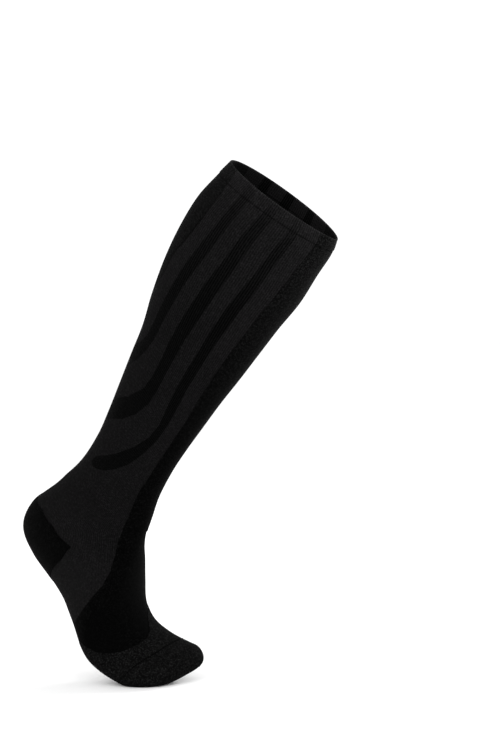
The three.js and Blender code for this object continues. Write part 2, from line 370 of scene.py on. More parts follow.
def read_line(points: Sequence[Point]) -> Edge:
    """Makes an edge that reads a line of (angle, course) points.

    Args:
        points: The line's points, in rising angle.

    Returns:
        A function from angles to courses.
    """
    angles, courses = zip(*points)
    return lambda angle: np.interp(angle, angles, courses)


def signed(angle: Array) -> Array:
    """Angles past 180 as negative ones, on the inner side."""
    return np.where(angle > 180, angle - 360, angle)


def soft_step(share: Array) -> Array:
    """Makes a share from 0 to 1 start and end gently."""
    return share * share * (3 - 2 * share)


def gore(column: int) -> Edge:
    """Makes the edge of the heel pocket from its gores.

    Args:
        column: The column of HEEL_GORES with its courses.

    Returns:
        A function from angles to courses.
    """
    angles = [row[0] for row in HEEL_GORES]
    courses = [row[column] for row in HEEL_GORES]

    def edge(angle: Array) -> Array:
        """The course of the gore, alike on both sides."""
        return np.interp(np.abs(signed(angle)), angles, courses)

    return edge


def level(course: float) -> Edge:
    """Makes an edge that keeps to one course."""
    return lambda angle: np.full_like(angle, course)


def past_heel(edge: Edge) -> Edge:
    """Makes an edge level in front and along a gore of the heel behind."""
    return lambda angle: np.where(np.abs(angle) < HEEL_GORES[0][0], LEG_END, edge(angle))


def gore_line(column: int) -> list[Point]:
    """A gore of the heel pocket as (course, angle) points."""
    return [(row[column], row[0]) for row in HEEL_GORES]


heel_upper: Edge = gore(1)
heel_lower: Edge = gore(2)
toe_edge: Edge = read_line(TOE_EDGE)
toe_seam: Edge = read_line(TOE_SEAM)


def distance_to(course: Array, angle: Array, line: Sequence[Point], per_degree: float) -> Array:
    """Distances over the cloth from places to a drawn line.

    Args:
        course: Courses of the places.
        angle: Angles of the places.
        line: The line's (course, angle) points.
        per_degree: Millimetres of cloth a degree.

    Returns:
        Distances, in millimetres.
    """
    nearest = np.full(course.shape, np.inf)
    for (s0, a0), (s1, a1) in zip(line, line[1:]):
        run, turn = s1 - s0, (a1 - a0) * per_degree
        ds, da = course - s0, (angle - a0) * per_degree
        f = np.clip((ds * run + da * turn) / (run * run + turn * turn), 0, 1)
        nearest = np.minimum(nearest, np.hypot(ds - f * run, da - f * turn))
    return nearest


def depth_inside(course: Array, angle: Array, outline: Sequence[Point]) -> Array:
    """How far inside a zone each place lies, below 0 outside it.

    Args:
        course: Courses of the places.
        angle: Angles of the places, from 0 to 180.
        outline: The zone's outline as (course, angle) points.

    Returns:
        Distances, in millimetres.
    """
    closed = [*outline, outline[0]]
    inside = np.zeros(course.shape, bool)
    for (s0, a0), (s1, a1) in zip(closed, closed[1:]):
        if s0 == s1:
            continue
        spans = (course < s0) != (course < s1)
        inside ^= spans & (angle < a0 + (a1 - a0) * (course - s0) / (s1 - s0))
    distance = distance_to(course, angle, closed, LEG_DEGREE)
    return np.where(inside, distance, -distance)


@dataclass(frozen=True)
class Crease:
    """A soft trough or ridge round a part of the stocking, in millimetres and degrees."""

    course: float
    angle: float
    half_turn: float
    half_width: float
    height: float
    slope: float = 0.0

    def lift(self, course: Array, angle: Array) -> Array:
        """How far the crease lifts the cloth.

        Args:
            course: Courses of the places.
            angle: Angles of the places.

        Returns:
            Heights, in millimetres.
        """
        centre = self.course + self.slope * (angle - self.angle)
        along = (course - centre) / self.half_width
        round_ = (angle - self.angle) / self.half_turn
        return self.height * np.exp(-(along**2) - round_**2)


# Soft creases of the worn cloth, at the instep, ankle, calf foot and sole
CREASES: tuple[Crease, ...] = (
    Crease(386, 30, 36, 6.0, -0.45, -0.08),
    Crease(396, 26, 40, 5.5, 0.35, -0.05),
    Crease(406, 30, 38, 6.0, -0.45, 0.02),
    Crease(418, 34, 32, 6.0, 0.30, 0.06),
    Crease(372, 70, 26, 7.0, -0.40, 0.12),
    Crease(392, 78, 24, 6.0, 0.40, 0.10),
    Crease(353, 150, 26, 6.0, -0.50, 0.05),
    Crease(345, 160, 26, 5.0, 0.30, 0.05),
    Crease(386, -34, 36, 6.0, -0.45, 0.08),
    Crease(404, -34, 38, 6.0, -0.40, -0.02),
    Crease(372, -70, 26, 7.0, -0.45, -0.12),
    Crease(353, -150, 26, 6.0, -0.50, -0.05),
    Crease(452, 168, 30, 6.0, -0.50, 0.0),
    Crease(462, -175, 34, 5.0, -0.40, 0.0),
)


@dataclass
class KnitPiece:
    """A thin knitted shell between two edges, on the form of its solid.

    Sizes are in millimetres. The outer face lies at a height over the form, with the soft
    creases, the inner face lies a wall below it, and the wall is closed along its edges. The
    gores are the columns of HEEL_GORES that the piece meets. A piece that is open round doesn't
    join its last column to its first. One with an open end has no wall there, but caps.
    """

    form: Form
    name: str = ""
    nodes: tuple[str, ...] = ()
    slot: str = ""
    start: Edge = level(0.0)
    end: Edge = level(math.inf)
    meets_welt: bool = False
    gores: tuple[int, ...] = ()
    open_round: bool = False
    open_end: bool = False
    height: float = 1.8
    wall: float = 1.4
    columns: int = 200
    rows: int = 20
    wales: int = 168
    relaxed_girth: float = 0.82
    relaxed_length: float = 0.95
    with_pieces: list[bpy.types.Object] = field(default_factory=list)

    def angles(self) -> Array:
        """The angles of the columns, the first one repeated as the last."""
        return np.linspace(-180, 180, self.columns + 1)

    def lift(self, course: Array, angle: Array) -> Array:
        """How far the cloth stands up from its plain height."""
        return sum(crease.lift(course, angle) for crease in CREASES)

    def seam_distance(self, course: Array, angle: Array) -> Array:
        """Measures the way to the nearest seam that shows on the piece.

        Args:
            course: Courses of the places.
            angle: Angles of the places.

        Returns:
            Distances, in millimetres.
        """
        side = np.abs(signed(angle))
        gores = [distance_to(course, side, gore_line(c), HEEL_DEGREE) for c in self.gores]
        welt = np.abs(course - WELT_END) if self.meets_welt else np.full_like(course, NO_SEAM)
        return np.min([welt, *gores], axis=0)

    def places(self) -> tuple[Array, Array]:
        """Lays out the piece's grid.

        Returns:
            Its courses and angles, one row for each angle.
        """
        angle = self.angles()
        share = np.linspace(0, 1, self.rows + 1)
        start, end = self.start(angle), np.minimum(self.end(angle), self.form.last)
        course = start[:, None] + (end - start)[:, None] * share
        return course, np.repeat(angle[:, None], self.rows + 1, axis=1)

    def loop(self) -> Loop:
        """The line back up the outer face and down the inner one, at each angle.

        Returns:
            Its courses, its angles, and how far each point lies below the outer face.
        """
        course, angle = self.places()
        sink = np.zeros_like(course)
        return (
            np.concatenate([course[:, ::-1], course], 1),
            np.concatenate([angle, angle], 1),
            np.concatenate([sink, sink + self.wall], 1),
        )

    def surface(self, course: Array, angle: Array, sink: Array) -> Array:
        """Places the shell.

        Args:
            course: Courses of its points.
            angle: Their angles.
            sink: How far they lie below the outer face.

        Returns:
            The points, in metres.
        """
        held = np.clip(course, 0, self.form.last)
        height = self.height + self.lift(held, angle) - sink
        outward = self.form.outward(held, angle)
        return (self.form.point(held, angle) + outward * height[..., None]) * MM

    def quads(self, columns: int, points: int) -> Faces:
        """Faces between neighbouring loops, round each loop or up to its open end.

        Args:
            columns: Number of loops, the last joined to the first.
            points: Number of points in a loop.

        Returns:
            Faces as numbers of (loop, point) pairs, counted loop by loop.
        """
        made = []
        for j in range(columns):
            a, b = j * points, (j + 1) * points
            for k in range(points - int(self.open_end)):
                n = (k + 1) % points
                made.append((a + k, a + n, b + n, b + k))
        return made

    def caps(self, columns: int, points: int) -> Faces:
        """Further faces that close the shell."""
        return []

    def build(self) -> bpy.types.Object:
        """Builds the shell with its map and marks.

        Returns:
            The piece.
        """
        course, angle, sink = self.loop()
        count, points = course.shape
        where = self.surface(course, angle, sink).reshape(-1, 3)
        faces = self.quads(count - 1, points) + self.caps(count, points)
        joined = self.joined(count, points)
        used, inverse = np.unique(joined, return_inverse=True)
        corners = [tuple(int(inverse[i]) for i in face) for face in faces]
        piece = add_piece(self.name, where[used], corners)
        mesh = piece.data
        mesh.validate()
        self.map_knit(mesh, faces, course, angle)
        inner = np.clip(sink / self.wall, 0, 1).reshape(-1)[used]
        self.mark_zones(mesh, course.reshape(-1)[used], angle.reshape(-1)[used], inner)
        smooth(piece)
        return piece

    def joined(self, count: int, points: int) -> Array:
        """Joins the last column of the grid to the first, unless it is open round.

        Args:
            count: Number of columns.
            points: Number of points in a column.

        Returns:
            For each grid point, the point that it shares a vertex with.
        """
        numbers = np.arange(count * points)
        if not self.open_round:
            numbers[(count - 1) * points :] -= (count - 1) * points
        return numbers

    def map_knit(
        self, mesh: bpy.types.Mesh, faces: Faces, course: Array, angle: Array
    ) -> None:
        """Gives each face corner its wale and its way down the cloth, in millimetres.

        Args:
            mesh: The piece's mesh.
            faces: Its faces, by grid point.
            course: Courses of the grid.
            angle: Angles of the grid.
        """
        held = np.clip(course, 0, self.form.last)
        turned = signed(angle)
        wale = self.form.share_round(held, turned) * self.wales
        wale = np.where(angle > 180, wale + self.wales, wale)
        down = self.form.read(self.form.table_down, held, turned)
        uv = np.stack([wale.reshape(-1), down.reshape(-1)], -1)
        layer = mesh.uv_layers.new(name=UV_NAME)
        corners = np.array([i for face in faces for i in face])
        layer.data.foreach_set("uv", uv[corners].astype(np.float32).reshape(-1))

    def knit_angle(self, course: Array, angle: Array) -> Array:
        """The angle at which the knit's zones are read.

        The zones are alike on both sides, but the inner side's are turned at the top.

        Args:
            course: The vertices' courses.
            angle: The vertices' angles.

        Returns:
            Angles from 0 at the shin to 180 at the calf.
        """
        turned = signed(angle)
        turn = TOP_TURN * soft_step(np.clip((TURN_END - course) / TURN_END, 0, 1))
        return np.where(turned < 0, np.maximum(-turned - turn, 0), turned)

    def mark_zones(self, mesh: bpy.types.Mesh, course: Array, angle: Array, inner: Array) -> None:
        """Marks how deep each vertex lies in each zone, and how far from a seam.

        Args:
            mesh: The piece's mesh.
            course: The vertices' courses.
            angle: The vertices' angles.
            inner: How much each vertex belongs to the inner face.
        """
        turned = self.knit_angle(course, angle)
        bands = np.max([depth_inside(course, turned, o) for o in BAND_OUTLINES], axis=0)
        values = {
            Mark.BANDS: bands,
            Mark.SHIN_PANEL: depth_inside(course, turned, SHIN_OUTLINE),
            Mark.CALF_PANEL: depth_inside(course, turned, CALF_OUTLINE),
            Mark.SEAM: self.seam_distance(course, angle),
            Mark.INNER_FACE: inner,
        }
        for mark, value in values.items():
            layer = mesh.attributes.new(mark.value, "FLOAT", "POINT")
            layer.data.foreach_set("value", value.astype(np.float32))

    def cut(self) -> tuple[Span, float]:
        """The knitted size before it is stretched over its form.

        Returns:
            Width and length in metres, and the area in square metres.
        """
        course, angle = self.places()
        points = self.form.point(course, angle) * MM
        down = np.linalg.norm(np.diff(points, axis=1), axis=-1)
        round_ = np.linalg.norm(np.diff(points, axis=0), axis=-1)
        width = float(round_.sum(0).max()) * self.relaxed_girth
        length = float(down.sum(1).max()) * self.relaxed_length
        cells = round_[:, :-1] * down[:-1]
        area = float(cells.sum()) * self.relaxed_girth * self.relaxed_length
        return (width, length), min(area, width * length)

    def dress(self, piece: bpy.types.Object, material: bpy.types.Material) -> None:
        """Gives the piece its knit, hangs it under the root and hides the parts that it stands
        for.

        Args:
            piece: The built piece.
            material: Its finish.
        """
        piece.data.materials.append(material)
        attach(piece, ROOT)
        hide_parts(*self.nodes)
        flat, area = self.cut()
        LOG.info("%s: cut %.0f x %.0f mm, %.4f m2", self.name, flat[0] / MM, flat[1] / MM, area)


@dataclass
class Welt(KnitPiece):
    """The turned double top, with a rolled rim."""

    name: str = "welt_knit"
    nodes: tuple[str, ...] = ("welt",)
    slot: str = "welt_knit"
    start: Edge = level(RIM_ROLL)
    end: Edge = level(WELT_END)
    meets_welt: bool = True
    height: float = 2.1
    wall: float = 2 * RIM_ROLL
    rows: int = 18
    rim_steps: int = 7
    bulge: float = 0.3
    dip: float = 1.6

    def lift(self, course: Array, angle: Array) -> Array:
        """The double cloth stands proud and dips to its seam."""
        return self.bulge * soft_step(np.clip((WELT_END - course) / self.dip, 0, 1))

    def loop(self) -> Loop:
        """The closed line round the wall, with the rim rolled over.

        Returns:
            Its courses, its angles, and how far each point lies below the outer face.
        """
        course, angle, sink = super().loop()
        turn = np.linspace(0, np.pi, self.rim_steps + 2)[1:-1]
        half = self.wall / 2
        rim_sink = half - half * np.cos(turn)
        rim_course = half - half * np.sin(turn)
        count = len(course)
        rim = [np.repeat(row[None], count, axis=0) for row in (rim_course, rim_sink)]
        around = np.repeat(angle[:, :1], self.rim_steps, axis=1)
        outer = self.rows + 1
        return (
            np.concatenate([course[:, :outer], rim[0], course[:, outer:]], 1),
            np.concatenate([angle[:, :outer], around, angle[:, outer:]], 1),
            np.concatenate([sink[:, :outer], rim[1], sink[:, outer:]], 1),
        )


@dataclass
class Leg(KnitPiece):
    """The leg, from the welt to the ankle and the upper gore of the heel."""

    name: str = "leg_knit"
    nodes: tuple[str, ...] = ("calf_front", "calf_back", "shank_front", "shank_back")
    slot: str = "leg_knit"
    start: Edge = level(WELT_END)
    end: Edge = past_heel(heel_upper)
    meets_welt: bool = True
    gores: tuple[int, ...] = (1,)
    rows: int = 170


@dataclass
class Heel(KnitPiece):
    """The heel pocket between its gores."""

    name: str = "heel_knit"
    nodes: tuple[str, ...] = ("heel_pocket",)
    slot: str = "heel_knit"
    start: Edge = heel_upper
    end: Edge = heel_lower
    gores: tuple[int, ...] = (1, 2)
    open_round: bool = True
    height: float = 2.1
    wall: float = 1.7
    columns: int = 104
    rows: int = 44
    bulge: float = 0.25
    rise: float = 2.5

    def angles(self) -> Array:
        """The angles of the columns, from one point of the pocket to the other."""
        edge = HEEL_GORES[0][0]
        return np.linspace(edge, 360 - edge, self.columns + 1)

    def lift(self, course: Array, angle: Array) -> Array:
        """The thicker pocket stands proud of the leg, away from its gores."""
        return self.bulge * np.clip(self.seam_distance(course, angle) / self.rise, 0, 1)

    def caps(self, columns: int, points: int) -> Faces:
        """Closes the two points of the pocket.

        Args:
            columns: Number of columns of the grid.
            points: Number of points in a column.

        Returns:
            Faces by grid point.
        """
        made = []
        base = (columns - 1) * points
        for k in range(points // 2 - 1):
            quad = (k, points - 1 - k, points - 2 - k, k + 1)
            made.append(quad)
            made.append(tuple(base + i for i in reversed(quad)))
        return made


@dataclass
class Foot(KnitPiece):
    """The foot, from the ankle and the lower gore of the heel to the toe pocket."""

    name: str = "foot_knit"
    nodes: tuple[str, ...] = ("foot",)
    slot: str = "foot_knit"
    start: Edge = past_heel(heel_lower)
    end: Edge = toe_edge
    gores: tuple[int, ...] = (2,)
    rows: int = 64


@dataclass
class Toe(KnitPiece):
    """The toe pocket, closed at its end."""

    name: str = "toe_knit"
    nodes: tuple[str, ...] = ("toe_top", "toe_sole")
    slot: str = "toe_knit"
    start: Edge = toe_edge
    open_end: bool = True
    height: float = 2.1
    wall: float = 1.6
    rows: int = 70
    furrow: float = 0.3
    furrow_width: float = 2.0

    def seam_distance(self, course: Array, angle: Array) -> Array:
        """Distance to the linked seam over the toes."""
        line = [(seam_course, seam_angle) for seam_angle, seam_course in TOE_SEAM]
        return distance_to(course, angle, line, TOE_DEGREE)

    def lift(self, course: Array, angle: Array) -> Array:
        """The cloth dips a little along its linked seam."""
        share = self.seam_distance(course, angle) / self.furrow_width
        return -self.furrow * np.exp(-(share**2))

    def caps(self, columns: int, points: int) -> Faces:
        """Closes the end of both faces.

        Args:
            columns: Number of columns of the grid.
            points: Number of points in a column.

        Returns:
            Faces by grid point.
        """
        inner = [j * points + points - 1 for j in range(columns - 1)]
        outer = [j * points for j in range(columns - 1)]
        return [*zip_across(inner), *(tuple(reversed(f)) for f in zip_across(outer))]


def zip_across(ring: Sequence[int]) -> Faces:
    """Closes a flat ring with faces from side to side.

    Args:
        ring: Points of the ring, from the calf side round the inner side to the shin and back.

    Returns:
        Faces that turn the same way as the ring runs.
    """
    count = len(ring)
    half = count // 4
    turned = [ring[(k - half) % count] for k in range(count)]
    made = [(turned[0], turned[1], turned[-1])]
    for k in range(1, count // 2 - 1):
        made.append((turned[k], turned[k + 1], turned[-k - 1], turned[-k]))
    made.append((turned[count // 2 - 1], turned[count // 2], turned[count // 2 + 1]))
    return made


def add_piece(name: str, corners: Array, faces: Faces) -> bpy.types.Object:
    """Puts a new piece into the scene.

    Args:
        name: Its name.
        corners: Its vertices, in metres.
        faces: Its faces, by vertex.

    Returns:
        The piece.
    """
    mesh = bpy.data.meshes.new(name)
    mesh.from_pydata(corners.tolist(), [], faces)
    piece = bpy.data.objects.new(name, mesh)
    bpy.context.scene.collection.objects.link(piece)
    return piece


def smooth(piece: bpy.types.Object, angle: float = 50.0) -> None:
    """Shades a piece smoothly over all but its sharp edges.

    Args:
        piece: The piece.
        angle: The turn from which an edge is sharp, in degrees.
    """
    bpy.ops.object.select_all(action="DESELECT")
    piece.select_set(True)
    bpy.context.view_layer.objects.active = piece
    bpy.ops.object.shade_smooth_by_angle(angle=math.radians(angle))
    piece.select_set(False)


@dataclass
class StitchRow:
    """A row of sewn stitches, modelled once and laid along a line on the cloth.

    Lengths are in millimetres, angles in degrees. The class's own values are shares of a
    stitch's thickness or length.
    """

    SIDES = 8
    MIDDLE = 0.1
    FULLNESS = 0.3
    END_WIDTH = 0.6
    END_HEIGHT = 0.5
    BEVEL = 0.16
    STEPS = 721
    SHARP = 60.0

    form: Form
    name: str
    line: Edge
    first: float
    last: float
    closed: bool
    pitch: float
    length: float
    thickness: float
    slant: float
    height: float

    def model_stitch(self) -> bpy.types.Mesh:
        """Models one stitch: a short thread, full in the middle and sunk at its ends.

        Returns:
            Its mesh, along X and with Z up, in metres.
        """
        bpy.ops.object.select_all(action="DESELECT")
        bpy.ops.mesh.primitive_cylinder_add(
            vertices=self.SIDES,
            radius=self.thickness * MM / 2,
            depth=self.length * MM,
            rotation=(0, math.pi / 2, 0),
        )
        stitch = bpy.context.object
        bpy.ops.object.transform_apply(location=True, rotation=True, scale=True)
        bpy.ops.object.mode_set(mode="EDIT")
        bpy.ops.mesh.select_all(action="SELECT")
        bpy.ops.mesh.bisect(plane_co=(0, 0, 0), plane_no=(1, 0, 0))
        bpy.ops.mesh.select_all(action="DESELECT")
        bpy.ops.object.mode_set(mode="OBJECT")
        rise = self.FULLNESS * self.thickness * MM
        for vertex in stitch.data.vertices:
            if abs(vertex.co.x) < self.MIDDLE * self.length * MM:
                vertex.co.z += rise
            else:
                vertex.co.y *= self.END_WIDTH
                vertex.co.z = self.END_HEIGHT * vertex.co.z - rise
        bpy.ops.object.mode_set(mode="EDIT")
        bpy.ops.mesh.select_all(action="SELECT")
        bpy.ops.mesh.bevel(offset=self.BEVEL * self.thickness * MM, segments=1, affect="EDGES")
        bpy.ops.mesh.normals_make_consistent(inside=False)
        bpy.ops.object.mode_set(mode="OBJECT")
        mesh = stitch.data.copy()
        bpy.data.objects.remove(stitch)
        return mesh

    def places(self) -> list[Point]:
        """Spaces the stitches a pitch apart on the cloth.

        Returns:
            Their courses and angles.
        """
        angle = np.linspace(self.first, self.last, self.STEPS)
        points = self.form.point(self.line(angle), angle)
        way = np.concatenate([[0], np.cumsum(np.linalg.norm(np.diff(points, axis=0), axis=-1))])
        count = max(2, round(float(way[-1]) / self.pitch))
        marks = np.linspace(0, way[-1], count, endpoint=not self.closed)
        turned = np.interp(marks, way, angle)
        return list(zip(self.line(turned).tolist(), turned.tolist()))

    def build(self) -> bpy.types.Object:
        """Lays the stitches along their line as one piece.

        Returns:
            The piece.
        """
        stitch = self.model_stitch()
        local = np.array([v.co for v in stitch.vertices])
        faces = [tuple(p.vertices) for p in stitch.polygons]
        corners: list[Array] = []
        made: Faces = []
        for number, (course, angle) in enumerate(self.places()):
            c, a = np.array([course]), np.array([angle])
            out = self.form.outward(c, a)[0]
            near, far = (self.form.point(self.line(a + step), a + step)[0] for step in (-1, 1))
            along = (far - near) / np.linalg.norm(far - near)
            side = np.cross(out, along)
            turn = math.radians(self.slant)
            ahead = along * math.cos(turn) + side * math.sin(turn)
            axes = np.stack([ahead, np.cross(out, ahead), out])
            where = self.form.point(c, a)[0] + out * self.height
            base = number * len(local)
            corners.append(local @ axes + where * MM)
            made.extend(tuple(base + i for i in face) for face in faces)
        bpy.data.meshes.remove(stitch)
        piece = add_piece(self.name, np.concatenate(corners), made)
        smooth(piece, self.SHARP)
        return piece

    def dress(self, piece: bpy.types.Object, material: bpy.types.Material, slot: str) -> None:
        """Gives the stitches their thread.

        Args:
            piece: The built row.
            material: Its finish.
            slot: Not used.
        """
        piece.data.materials.append(material)
        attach(piece, ROOT)
        LOG.info("%s: %d faces", self.name, len(piece.data.polygons))


class Value:
    """A shader socket that takes part in Python expressions."""

    def __init__(self, graph: "Graph", socket: bpy.types.NodeSocket) -> None:
        """Wraps a socket of a graph."""
        self.graph = graph
        self.socket = socket

    def math(self, operation: str, *others: Any) -> "Value":
        """Adds a Math node.

        Args:
            operation: The node's operation.
            others: Its further values, sockets or numbers.

        Returns:
            The result.
        """
        inputs = {k: v for k, v in enumerate((self, *others))}
        return self.graph.node("ShaderNodeMath", {"operation": operation}, inputs)

    def __add__(self, other: Any) -> "Value":
        """Sum."""
        return self.math("ADD", other)

    __radd__ = __add__

    def __mul__(self, other: Any) -> "Value":
        """Product."""
        return self.math("MULTIPLY", other)

    __rmul__ = __mul__

    def __sub__(self, other: Any) -> "Value":
        """Difference."""
        return self.math("SUBTRACT", other)

    def __rsub__(self, other: Any) -> "Value":
        """Difference from a number."""
        return self.graph.node("ShaderNodeMath", {"operation": "SUBTRACT"}, {0: other, 1: self})

    def __truediv__(self, other: Any) -> "Value":
        """Quotient."""
        return self.math("DIVIDE", other)

    def smoothstep(self, low: float, high: float) -> "Value":
        """A soft step between two values.

        Args:
            low: Where it is 0.
            high: Where it is 1.

        Returns:
            Values from 0 to 1.
        """
        return self.graph.node(
            "ShaderNodeMapRange",
            {"interpolation_type": "SMOOTHSTEP"},
            {"Value": self, "From Min": low, "From Max": high},
        )

    def linear(self, low: float, high: float, start: float, end: float) -> "Value":
        """A straight run, held beyond its ends.

        Args:
            low: Where it begins.
            high: Where it ends.
            start: Its value up to low.
            end: Its value from high on.

        Returns:
            Values from start to end.
        """
        return self.graph.node(
            "ShaderNodeMapRange",
            {},
            {"Value": self, "From Min": low, "From Max": high, "To Min": start, "To Max": end},
        )

    def wave(self) -> "Value":
        """A wave from 0 to 1, with one crest a unit."""
        return (self * (2 * math.pi)).math("COSINE") * 0.5 + 0.5


class Graph:
    """The node graph of one material."""

    def __init__(self, name: str) -> None:
        """Starts a material with an empty graph.

        Args:
            name: The material's name.
        """
        self.material = bpy.data.materials.new(name)
        self.material.use_nodes = True
        self.tree = self.material.node_tree
        self.tree.nodes.clear()

    def node(
        self,
        kind: str,
        settings: Optional[dict[str, Any]] = None,
        inputs: Optional[dict[Any, Any]] = None,
        output: Any = 0,
    ) -> Optional[Value]:
        """Adds a node.

        Args:
            kind: The node's type.
            settings: Its own properties, set first.
            inputs: Values or links of its sockets, by name or number.
            output: Which output is wanted, or None at the graph's end.

        Returns:
            That output.
        """
        made = self.tree.nodes.new(kind)
        for key, value in (settings or {}).items():
            setattr(made, key, value)
        for key, value in (inputs or {}).items():
            if isinstance(value, Value):
                self.tree.links.new(value.socket, made.inputs[key])
            else:
                made.inputs[key].default_value = value
        return None if output is None else Value(self, made.outputs[output])

    def mark(self, mark: Mark) -> Value:
        """Reads a mark of the piece."""
        return self.node("ShaderNodeAttribute", {"attribute_name": mark.value}, {}, "Fac")

    def mix(self, factor: Any, low: Any, high: Any) -> Value:
        """Mixes two colours.

        Args:
            factor: How much of the second.
            low: The first colour.
            high: The second colour.

        Returns:
            The mixed colour.
        """
        return self.node(
            "ShaderNodeMix",
            {"data_type": "RGBA", "clamp_factor": True},
            {0: factor, 6: low, 7: high},
            2,
        )

    def shade(self, colour: Value, strength: Value) -> Value:
        """Scales a colour.

        Args:
            colour: The colour.
            strength: Its factor.

        Returns:
            The scaled colour.
        """
        return self.node(
            "ShaderNodeVectorMath", {"operation": "SCALE"}, {0: colour, "Scale": strength}
        )

    def noise(
        self,
        scale: float,
        detail: float,
        rough: float = 0.5,
        stretch: Optional[Sequence[float]] = None,
    ) -> Value:
        """Noise in the object's own space.

        Args:
            scale: Cells a metre.
            detail: Octaves.
            rough: Strength of the finer octaves.
            stretch: Scale along each axis.

        Returns:
            Values about 0.5.
        """
        place = self.node("ShaderNodeTexCoord", {}, {}, "Object")
        if stretch:
            place = self.node("ShaderNodeMapping", {}, {"Vector": place, "Scale": tuple(stretch)})
        return self.node(
            "ShaderNodeTexNoise",
            {},
            {"Vector": place, "Scale": scale, "Detail": detail, "Roughness": rough},
        )

    def bump(self, height: Value, distance: float, strength: float) -> Value:
        """Turns a height into a normal.

        Args:
            height: The relief, as a share of the distance.
            distance: Its depth, in metres.
            strength: How much of it shows.

        Returns:
            The normal.
        """
        inputs = {"Height": height, "Distance": distance, "Strength": strength}
        return self.node("ShaderNodeBump", {}, inputs)

    def finish(
        self,
        colour: Value,
        roughness: Any,
        specular: float,
        normal: Optional[Value] = None,
        sheen: Optional[Span] = None,
    ) -> bpy.types.Material:
        """Ends the graph in the material's surface.

        Args:
            colour: The base colour.
            roughness: The roughness, a value or a number.
            specular: The specular level.
            normal: The normal, where the surface has relief.
            sheen: The weight and roughness of its sheen, where it has one.

        Returns:
            The material.
        """
        inputs = {"Base Color": colour, "Roughness": roughness, "Specular IOR Level": specular}
        if normal:
            inputs["Normal"] = normal
        if sheen:
            inputs["Sheen Weight"], inputs["Sheen Roughness"] = sheen
        shader = self.node("ShaderNodeBsdfPrincipled", {}, inputs)
        self.node("ShaderNodeOutputMaterial", {}, {"Surface": shader}, None)
        return self.material


# Rise of blue over green in a warm grey, as a share of red's
BLUE_SHARE = 0.6


def grey(tone: float, warmth: float = 0.0) -> tuple[float, float, float, float]:
    """A grey in linear light.

    Args:
        tone: Its brightness, from 0 to 1.
        warmth: How far red rises above and green falls below the tone, as a share.

    Returns:
        Red, green, blue and alpha.
    """
    return (tone * (1 + warmth), tone * (1 - warmth), tone * (1 + BLUE_SHARE * warmth), 1.0)


class KnitGraph(Graph):
    """The patterns that every knitted finish of the stocking is mixed from."""

    # Cells a metre, octaves, and strength of the finer octaves
    YARN = (1100, 2.0, 0.7)
    FLECK = (760, 1.0, 0.6)
    PATCH = (320, 2.0, 0.6)
    CLOUD = (45, 2.0, 0.5)
    RAGGED = (900, 1.0, 0.5)

    # How far the stitches step a zone's edge, and its line, in millimetres
    RAGGED_EDGE = 1.1
    RAGGED_LINE = 0.66

    # Lean of a stitch's legs, in stitches
    LEG_LEAN = 0.45

    # Heather: where each kind of fleck begins and is full, and its strength
    LIGHT_FLECK = (0.54, 0.66, 1.5)
    PALE_PATCH = (0.50, 0.64, 0.5)
    DARK_FLECK = (0.52, 0.60, 0.45)
    MEAN_FLECK = 0.32

    def __init__(self, name: str, stitch_pitch: float) -> None:
        """Lays out the knit's wales and courses.

        Args:
            name: The material's name.
            stitch_pitch: Length of a stitch down the cloth, in millimetres.
        """
        super().__init__(name)
        uv = self.node("ShaderNodeUVMap", {"uv_map": UV_NAME})
        wale = self.node("ShaderNodeSeparateXYZ", {}, {0: uv}, "X")
        self.down = self.node("ShaderNodeSeparateXYZ", {}, {0: uv}, "Y")
        place = self.node("ShaderNodeTexCoord", {}, {}, "Object")
        self.ahead = self.node("ShaderNodeSeparateXYZ", {}, {0: place}, "X")
        self.rib = wale.wave()
        across = (wale.math("FRACT") * 2 - 1).math("ABSOLUTE")
        self.stitch = (self.down / stitch_pitch + across * self.LEG_LEAN).wave()
        self.yarn = self.noise(*self.YARN)
        self.fleck = self.noise(*self.FLECK)
        self.patch = self.noise(*self.PATCH)
        self.cloud = self.noise(*self.CLOUD)
        self.ragged = self.noise(*self.RAGGED) - 0.5

    def inside(self, mark: Mark, soft: float = 0.4) -> Value:
        """How much a place belongs to a zone, with an edge stepped by the stitches.

        Args:
            mark: The zone.
            soft: Half the width of the step, in millimetres.

        Returns:
            Values from 0 to 1.
        """
        return (self.mark(mark) + self.ragged * self.RAGGED_EDGE).smoothstep(-soft, soft)

    def edge(self, mark: Mark, span: Span) -> Value:
        """The line along the edge of a zone, 1 within the span's start and 0 past its end."""
        away = (self.mark(mark) + self.ragged * self.RAGGED_LINE).math("ABSOLUTE")
        return 1 - away.smoothstep(*span)

    def heather(self, strength: Any) -> Value:
        """Light and dark flecks of mixed yarn, about 1.

        Args:
            strength: How strong the flecks are.

        Returns:
            Factors on a colour.
        """
        light, pale, dark = (
            noise.smoothstep(begin, full) * share
            for noise, (begin, full, share) in (
                (self.fleck, self.LIGHT_FLECK),
                (self.patch, self.PALE_PATCH),
                (self.yarn, self.DARK_FLECK),
            )
        )
        return (light + pale - dark - self.MEAN_FLECK) * strength + 1


